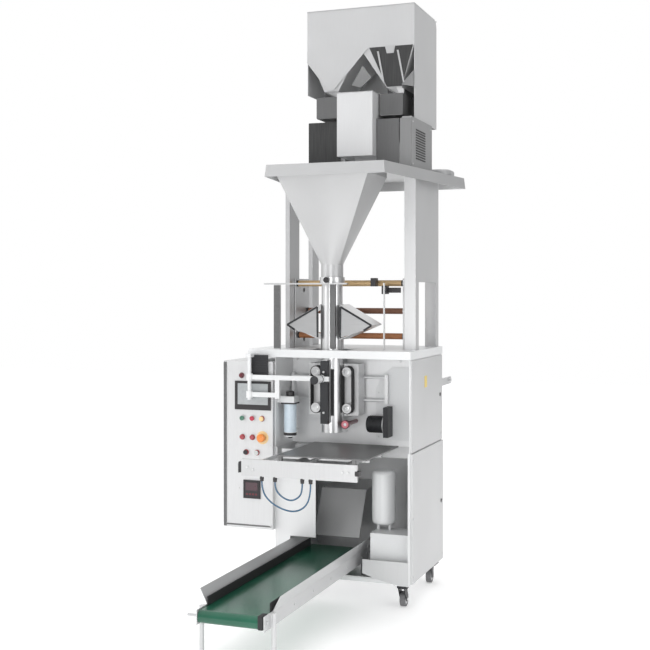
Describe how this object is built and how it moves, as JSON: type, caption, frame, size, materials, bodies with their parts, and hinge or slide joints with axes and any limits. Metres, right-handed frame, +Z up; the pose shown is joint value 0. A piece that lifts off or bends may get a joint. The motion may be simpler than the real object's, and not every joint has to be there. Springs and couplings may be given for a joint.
{
  "type": "vertical form fill sealer",
  "caption": "Upright bag packing machine: linear weigher on a deck, funnel, forming tube, film rollers, pull belts, seal jaws, control box and take-off conveyor.",
  "frame": {"origin": "middle of the whole machine's floor print, at floor level", "axes": "+Z up, -Y towards the conveyor's free end and the operator, +X to the machine's right seen from the front"},
  "size_m": [1.117, 2.1729, 3.1],
  "materials": {
    "stainless": "satin",
    "bright_steel": "polished",
    "light_paint": "semi-gloss",
    "white_paint": "gloss",
    "dark_sheet": "satin",
    "black_metal": "satin",
    "black_rubber": "matte",
    "belt_green": "satin",
    "roller_tan": "satin",
    "roller_brown": "satin",
    "roller_orange": "satin",
    "black_plastic": "satin",
    "lamp_plastic": "gloss",
    "green_plastic": "gloss",
    "red_plastic": "gloss",
    "orange_plastic": "gloss",
    "hose_blue": "gloss",
    "jaw_aluminium": "machined",
    "maroon": "gloss",
    "wheel_grey": "matte"
  },
  "bodies": {
    "machine": {"lower_cabinet": "stainless", "upper_housing": "stainless", "body_panels": "bright_steel", "top_plate": "white_paint", "rear_forks": "black_metal", "tower_frame": "stainless", "platform": "stainless", "weigher_base": "light_paint", "weigher_hood": "bright_steel", "weigh_heads": "jaw_aluminium", "discharge_box": "bright_steel", "funnel": "bright_steel", "funnel_clamp": "bright_steel", "forming_tube": "bright_steel", "forming_collar": "bright_steel", "film_frame": "stainless", "jaw_frame": "stainless", "guard_plate": "dark_sheet", "control_box": "light_paint", "operator_screen": "black_plastic", "temperature_controller": "black_plastic", "pilot_lamps": "lamp_plastic", "discharge_chute": "bright_steel", "conveyor_frame": "stainless", "conveyor_belt": "belt_green", "air_supply": "white_paint", "pressure_gauge": "maroon", "film_motor": "black_metal", "outer_hose": "hose_blue", "inner_hose": "hose_blue"},
    "front_fork_left": {"front_fork_left": "black_metal"},
    "front_fork_right": {"front_fork_right": "black_metal"},
    "front_wheel_left": {"front_wheel_left": "wheel_grey"},
    "front_wheel_right": {"front_wheel_right": "wheel_grey"},
    "rear_wheels": {"rear_wheels": "wheel_grey"},
    "bucket_flap_left": {"bucket_flap_left": "stainless"},
    "bucket_flap_right": {"bucket_flap_right": "stainless"},
    "roller_upper": {"roller_upper": "roller_tan"},
    "roller_middle": {"roller_middle": "roller_brown"},
    "roller_lower": {"roller_lower": "roller_orange"},
    "reel_shaft": {"reel_shaft": "bright_steel"},
    "belt_carriage_left": {"belt_carriage_left": "stainless", "pull_belt_left": "black_rubber"},
    "belt_carriage_right": {"belt_carriage_right": "stainless", "pull_belt_right": "black_rubber"},
    "drive_pulley_left": {"drive_pulley_left": "jaw_aluminium"},
    "drive_pulley_right": {"drive_pulley_right": "jaw_aluminium"},
    "idler_pulley_left": {"idler_pulley_left": "jaw_aluminium"},
    "idler_pulley_right": {"idler_pulley_right": "jaw_aluminium"},
    "seal_arm": {"seal_arm": "white_paint"},
    "seal_bar": {"seal_bar": "jaw_aluminium"},
    "front_jaw": {"front_jaw": "jaw_aluminium"},
    "rear_jaw": {"rear_jaw": "jaw_aluminium"},
    "cutter": {"cutter": "bright_steel"},
    "control_door": {"control_door": "light_paint"},
    "green_button": {"green_button": "green_plastic"},
    "red_button": {"red_button": "red_plastic"},
    "emergency_stop": {"emergency_stop": "orange_plastic"},
    "conveyor_front_roller": {"conveyor_front_roller": "bright_steel"},
    "conveyor_rear_roller": {"conveyor_rear_roller": "bright_steel"}
  },
  "joints": [
    {"name": "caster_swivel_left", "type": "hinge", "parent": "machine", "child": "front_fork_left", "pos_m": [-0.2165, 0.1065, 0.115], "axis": [0, 0, 1], "continuous": true},
    {"name": "caster_roll_left", "type": "hinge", "parent": "front_fork_left", "child": "front_wheel_left", "pos_m": [-0.2165, 0.1305, 0.0375], "axis": [1, 0, 0], "continuous": true},
    {"name": "caster_swivel_right", "type": "hinge", "parent": "machine", "child": "front_fork_right", "pos_m": [0.4135, 0.1065, 0.115], "axis": [0, 0, 1], "continuous": true},
    {"name": "caster_roll_right", "type": "hinge", "parent": "front_fork_right", "child": "front_wheel_right", "pos_m": [0.4135, 0.1305, 0.0375], "axis": [1, 0, 0], "continuous": true},
    {"name": "rear_casters_roll", "type": "hinge", "parent": "machine", "child": "rear_wheels", "pos_m": [0.0985, 0.6265, 0.0375], "axis": [1, 0, 0], "continuous": true},
    {"name": "flap_left_drop", "type": "hinge", "parent": "machine", "child": "bucket_flap_left", "pos_m": [-0.0485, 0.4108, 2.514], "axis": [1, 0, 0], "range_deg": [0, 55]},
    {"name": "flap_right_drop", "type": "hinge", "parent": "machine", "child": "bucket_flap_right", "pos_m": [0.3035, 0.4108, 2.514], "axis": [1, 0, 0], "range_deg": [0, 55]},
    {"name": "roller_upper_spin", "type": "hinge", "parent": "machine", "child": "roller_upper", "pos_m": [0.0535, 0.3165, 1.635], "axis": [1, 0, 0], "continuous": true},
    {"name": "roller_middle_spin", "type": "hinge", "parent": "machine", "child": "roller_middle", "pos_m": [0.0535, 0.4665, 1.486], "axis": [1, 0, 0], "continuous": true},
    {"name": "roller_lower_spin", "type": "hinge", "parent": "machine", "child": "roller_lower", "pos_m": [0.0535, 0.3315, 1.356], "axis": [1, 0, 0], "continuous": true},
    {"name": "reel_spin", "type": "hinge", "parent": "machine", "child": "reel_shaft", "pos_m": [0.0935, 1.0465, 1.075], "axis": [1, 0, 0], "continuous": true},
    {"name": "carriage_left_slide", "type": "slide", "parent": "machine", "child": "belt_carriage_left", "axis": [-1, 0, 0], "range_m": [0, 0.03]},
    {"name": "idler_left_spin", "type": "hinge", "parent": "belt_carriage_left", "child": "idler_pulley_left", "pos_m": [-0.0725, 0.1665, 0.985], "axis": [0, 1, 0], "continuous": true},
    {"name": "drive_left_spin", "type": "hinge", "parent": "belt_carriage_left", "child": "drive_pulley_left", "pos_m": [-0.0725, 0.1665, 1.175], "axis": [0, 1, 0], "continuous": true},
    {"name": "carriage_right_slide", "type": "slide", "parent": "machine", "child": "belt_carriage_right", "axis": [1, 0, 0], "range_m": [0, 0.03]},
    {"name": "idler_right_spin", "type": "hinge", "parent": "belt_carriage_right", "child": "idler_pulley_right", "pos_m": [0.0995, 0.1665, 0.985], "axis": [0, 1, 0], "continuous": true},
    {"name": "drive_right_spin", "type": "hinge", "parent": "belt_carriage_right", "child": "drive_pulley_right", "pos_m": [0.0995, 0.1665, 1.175], "axis": [0, 1, 0], "continuous": true},
    {"name": "seal_arm_swing", "type": "hinge", "parent": "machine", "child": "seal_arm", "pos_m": [-0.3815, -0.0055, 1.13], "axis": [0, 0, -1], "range_deg": [0, 95]},
    {"name": "seal_bar_press", "type": "slide", "parent": "seal_arm", "child": "seal_bar", "axis": [0, 1, 0], "range_m": [0, 0.028]},
    {"name": "front_jaw_close", "type": "slide", "parent": "machine", "child": "front_jaw", "axis": [0, 1, 0], "range_m": [0, 0.037]},
    {"name": "rear_jaw_close", "type": "slide", "parent": "machine", "child": "rear_jaw", "axis": [0, -1, 0], "range_m": [0, 0.037]},
    {"name": "cutter_stroke", "type": "slide", "parent": "front_jaw", "child": "cutter", "axis": [0, 1, 0], "range_m": [0, 0.028]},
    {"name": "control_door_swing", "type": "hinge", "parent": "machine", "child": "control_door", "pos_m": [-0.5525, 0.4105, 0.8], "axis": [0, 0, -1], "range_deg": [0, 105]},
    {"name": "green_button_press", "type": "slide", "parent": "machine", "child": "green_button", "axis": [0, 1, 0], "range_m": [0, 0.004], "stiffness_N_per_m": 500},
    {"name": "red_button_press", "type": "slide", "parent": "machine", "child": "red_button", "axis": [0, 1, 0], "range_m": [0, 0.004], "stiffness_N_per_m": 500},
    {"name": "emergency_stop_press", "type": "slide", "parent": "machine", "child": "emergency_stop", "axis": [0, 1, 0], "range_m": [0, 0.004], "stiffness_N_per_m": 500},
    {"name": "conveyor_drive_spin", "type": "hinge", "parent": "machine", "child": "conveyor_rear_roller", "pos_m": [0.0135, 0.2615, 0.215], "axis": [1, 0, 0], "continuous": true},
    {"name": "conveyor_front_spin", "type": "hinge", "parent": "machine", "child": "conveyor_front_roller", "pos_m": [0.0135, -1.0585, 0.215], "axis": [1, 0, 0], "continuous": true}
  ],
  "couplings": [
    {"joint": "rear_jaw_close", "follows": "front_jaw_close", "ratio": 1},
    {"joint": "carriage_right_slide", "follows": "carriage_left_slide", "ratio": 1},
    {"joint": "idler_left_spin", "follows": "drive_left_spin", "ratio": 1},
    {"joint": "drive_right_spin", "follows": "drive_left_spin", "ratio": -1},
    {"joint": "idler_right_spin", "follows": "drive_left_spin", "ratio": -1},
    {"joint": "conveyor_front_spin", "follows": "conveyor_drive_spin", "ratio": 1}
  ]
}
